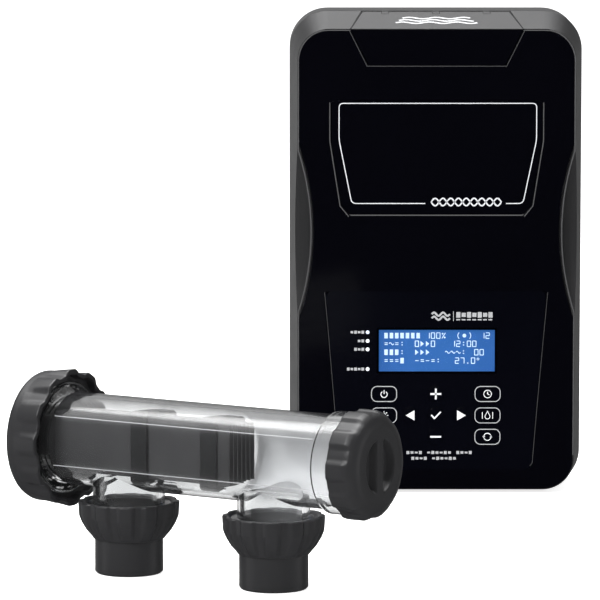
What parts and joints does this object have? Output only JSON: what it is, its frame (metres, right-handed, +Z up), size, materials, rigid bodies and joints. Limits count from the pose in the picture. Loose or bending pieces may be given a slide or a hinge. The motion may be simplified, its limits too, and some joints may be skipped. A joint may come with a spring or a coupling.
{
  "type": "salt chlorine generator",
  "caption": "Pool salt chlorine generator: wall controller with display and keypad, and a clear electrolytic cell on two pipe unions.",
  "frame": {"origin": "middle of the footprint of both units, on the surface they stand on", "axes": "+Z up, the controller faces -Y and its right side as seen from the front is +X"},
  "size_m": [0.487, 0.6754, 0.427],
  "materials": {
    "case_charcoal": "satin moulded plastic with a fine texture",
    "fascia_black": "high gloss black",
    "keypad_black": "gloss black overlay",
    "display_glass": "clear window over a blue display",
    "display_blue": "lit blue display",
    "light_clear": "clear light pipes",
    "union_black": "satin black moulded plastic",
    "clear_housing": "clear moulded acrylic",
    "plate_grey": "matt coated titanium",
    "spacer_black": "black plastic",
    "seal_rubber": "black rubber",
    "titanium": "turned titanium",
    "zinc_steel": "zinc plated steel",
    "board_green": "solder mask",
    "core_steel": "varnished laminations",
    "copper_winding": "varnished copper",
    "sink_aluminium": "extruded",
    "part_black": "black plastic",
    "part_green": "green plastic",
    "gland_grey": "dark grey nylon"
  },
  "bodies": {
    "controller": {"rear_case": "case_charcoal", "case_seal": "seal_rubber", "front_frame": "case_charcoal", "fascia_panel": "fascia_black", "badge_panel": "fascia_black", "keypad_overlay": "keypad_black", "flap_hinge_pin": "zinc_steel", "service_port": "part_black", "display_lens": "display_glass", "display_module": "display_blue", "indicator_lights": "light_clear", "key_switches": "part_black", "control_board": "board_green", "board_screws": "zinc_steel", "cover_screws": "zinc_steel", "wall_bracket": "zinc_steel", "bracket_screws": "zinc_steel", "power_board": "board_green", "capacitors": "part_black", "relay": "part_black", "fuse_holder": "part_black", "terminal_block": "part_green", "transformer_core": "core_steel", "transformer_winding": "copper_winding", "heat_sink": "sink_aluminium", "rectifier": "part_black", "gland_bodies": "gland_grey", "gland_nuts": "gland_grey", "gland_lock_nuts": "gland_grey", "inlet_tail": "union_black", "inlet_seal": "seal_rubber", "outlet_tail": "union_black", "outlet_seal": "seal_rubber"},
    "flap": {"flap_cover": "case_charcoal", "flap_trim": "fascia_black"},
    "cell": {"cell_housing": "clear_housing"},
    "electrode": {"electrode_head": "union_black", "electrode_plates": "plate_grey", "electrode_spacers": "spacer_black", "electrode_terminals": "titanium", "terminal_nuts": "titanium", "head_seal": "seal_rubber"},
    "collar": {"locking_collar": "union_black"},
    "end_cap": {"end_cap": "union_black", "end_cap_seal": "seal_rubber"},
    "inlet_nut": {"inlet_nut": "union_black"},
    "outlet_nut": {"outlet_nut": "union_black"},
    "key_power": {"key_power": "keypad_black"},
    "key_lights": {"key_lights": "keypad_black"},
    "key_spa": {"key_spa": "keypad_black"},
    "key_timer": {"key_timer": "keypad_black"},
    "key_salt_test": {"key_salt_test": "keypad_black"},
    "key_filter_clean": {"key_filter_clean": "keypad_black"},
    "key_plus": {"key_plus": "keypad_black"},
    "key_minus": {"key_minus": "keypad_black"},
    "key_left": {"key_left": "keypad_black"},
    "key_right": {"key_right": "keypad_black"},
    "key_ok": {"key_ok": "keypad_black"}
  },
  "joints": [
    {"name": "flap_open", "type": "hinge", "parent": "controller", "child": "flap", "pos_m": [0.11352, 0.26066, 0.42336], "axis": [-1, 0, 0], "range_deg": [0, 95]},
    {"name": "cell_lift", "type": "slide", "parent": "controller", "child": "cell", "axis": [0, 0, 1], "range_m": [0, 0.06]},
    {"name": "electrode_withdraw", "type": "slide", "parent": "cell", "child": "electrode", "axis": [-0.848, 0.5299, 0], "range_m": [0, 0.2]},
    {"name": "collar_turn", "type": "hinge", "parent": "electrode", "child": "collar", "pos_m": [-0.21708, -0.13473, 0.105], "axis": [-0.848, 0.5299, 0], "range_deg": [0, 720]},
    {"name": "end_cap_turn", "type": "hinge", "parent": "cell", "child": "end_cap", "pos_m": [0.05556, -0.3051, 0.105], "axis": [0.848, -0.5299, 0], "range_deg": [0, 720]},
    {"name": "inlet_nut_turn", "type": "hinge", "parent": "controller", "child": "inlet_nut", "pos_m": [-0.145, -0.17977, 0.028], "axis": [0, 0, -1], "range_deg": [0, 1080]},
    {"name": "outlet_nut_turn", "type": "hinge", "parent": "controller", "child": "outlet_nut", "pos_m": [-0.02797, -0.2529, 0.028], "axis": [0, 0, -1], "range_deg": [0, 1080]},
    {"name": "key_power_press", "type": "slide", "parent": "controller", "child": "key_power", "axis": [0, 1, 0], "range_m": [0, 0.0006], "stiffness_N_per_m": 800, "springref_m": -0.0006},
    {"name": "key_lights_press", "type": "slide", "parent": "controller", "child": "key_lights", "axis": [0, 1, 0], "range_m": [0, 0.0006], "stiffness_N_per_m": 800, "springref_m": -0.0006},
    {"name": "key_spa_press", "type": "slide", "parent": "controller", "child": "key_spa", "axis": [0, 1, 0], "range_m": [0, 0.0006], "stiffness_N_per_m": 800, "springref_m": -0.0006},
    {"name": "key_timer_press", "type": "slide", "parent": "controller", "child": "key_timer", "axis": [0, 1, 0], "range_m": [0, 0.0006], "stiffness_N_per_m": 800, "springref_m": -0.0006},
    {"name": "key_salt_test_press", "type": "slide", "parent": "controller", "child": "key_salt_test", "axis": [0, 1, 0], "range_m": [0, 0.0006], "stiffness_N_per_m": 800, "springref_m": -0.0006},
    {"name": "key_filter_clean_press", "type": "slide", "parent": "controller", "child": "key_filter_clean", "axis": [0, 1, 0], "range_m": [0, 0.0006], "stiffness_N_per_m": 800, "springref_m": -0.0006},
    {"name": "key_plus_press", "type": "slide", "parent": "controller", "child": "key_plus", "axis": [0, 1, 0], "range_m": [0, 0.0006], "stiffness_N_per_m": 800, "springref_m": -0.0006},
    {"name": "key_minus_press", "type": "slide", "parent": "controller", "child": "key_minus", "axis": [0, 1, 0], "range_m": [0, 0.0006], "stiffness_N_per_m": 800, "springref_m": -0.0006},
    {"name": "key_left_press", "type": "slide", "parent": "controller", "child": "key_left", "axis": [0, 1, 0], "range_m": [0, 0.0006], "stiffness_N_per_m": 800, "springref_m": -0.0006},
    {"name": "key_right_press", "type": "slide", "parent": "controller", "child": "key_right", "axis": [0, 1, 0], "range_m": [0, 0.0006], "stiffness_N_per_m": 800, "springref_m": -0.0006},
    {"name": "key_ok_press", "type": "slide", "parent": "controller", "child": "key_ok", "axis": [0, 1, 0], "range_m": [0, 0.0006], "stiffness_N_per_m": 800, "springref_m": -0.0006}
  ]
}
